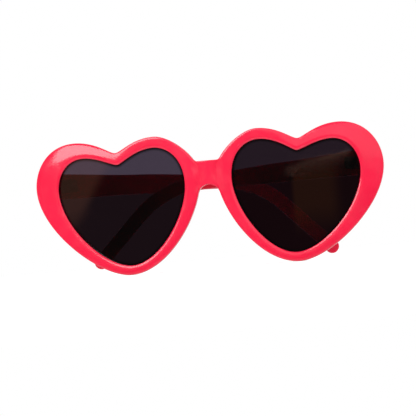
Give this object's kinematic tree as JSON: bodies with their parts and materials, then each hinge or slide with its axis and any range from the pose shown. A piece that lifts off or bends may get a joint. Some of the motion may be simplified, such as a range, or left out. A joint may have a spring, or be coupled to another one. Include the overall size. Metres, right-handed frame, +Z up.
{
  "type": "pet sunglasses",
  "caption": "Heart-shaped sunglasses for a cat or small dog, folded: moulded coral front, smoke lenses and hooked arms on screwed hinges.",
  "frame": {"origin": "middle of the top of the arch under the bridge, where the wearer's nose carries the front", "axes": "+X towards the wearer's left, which is the viewer's right; +Y back towards the wearer, where the arms fold; +Z up"},
  "size_m": [0.082, 0.0295, 0.0319],
  "materials": {
    "coral_plastic": "glossy moulded, coral red",
    "smoke_lens": "polished smoke sheet",
    "hinge_metal": "nickel plated",
    "screw_steel": "bright"
  },
  "bodies": {
    "front": {"front_frame": "coral_plastic", "right_lens": "smoke_lens", "left_lens": "smoke_lens", "right_front_hinge": "hinge_metal", "left_front_hinge": "hinge_metal", "right_hinge_screw": "screw_steel", "left_hinge_screw": "screw_steel"},
    "right_arm": {"right_temple": "coral_plastic", "right_temple_hinge": "hinge_metal"},
    "left_arm": {"left_temple": "coral_plastic", "left_temple_hinge": "hinge_metal"}
  },
  "joints": [
    {"name": "right_temple_fold", "type": "hinge", "parent": "front", "child": "right_arm", "pos_m": [-0.0373, 0.0111, 0.0024], "axis": [0, 0, 1], "range_deg": [0, 77.5]},
    {"name": "left_temple_fold", "type": "hinge", "parent": "front", "child": "left_arm", "pos_m": [0.0373, 0.0111, 0.0024], "axis": [0, 0, -1], "range_deg": [0, 96.5]}
  ],
  "couplings": [
    {"joint": "left_temple_fold", "follows": "right_temple_fold", "ratio": 1.2452}
  ]
}
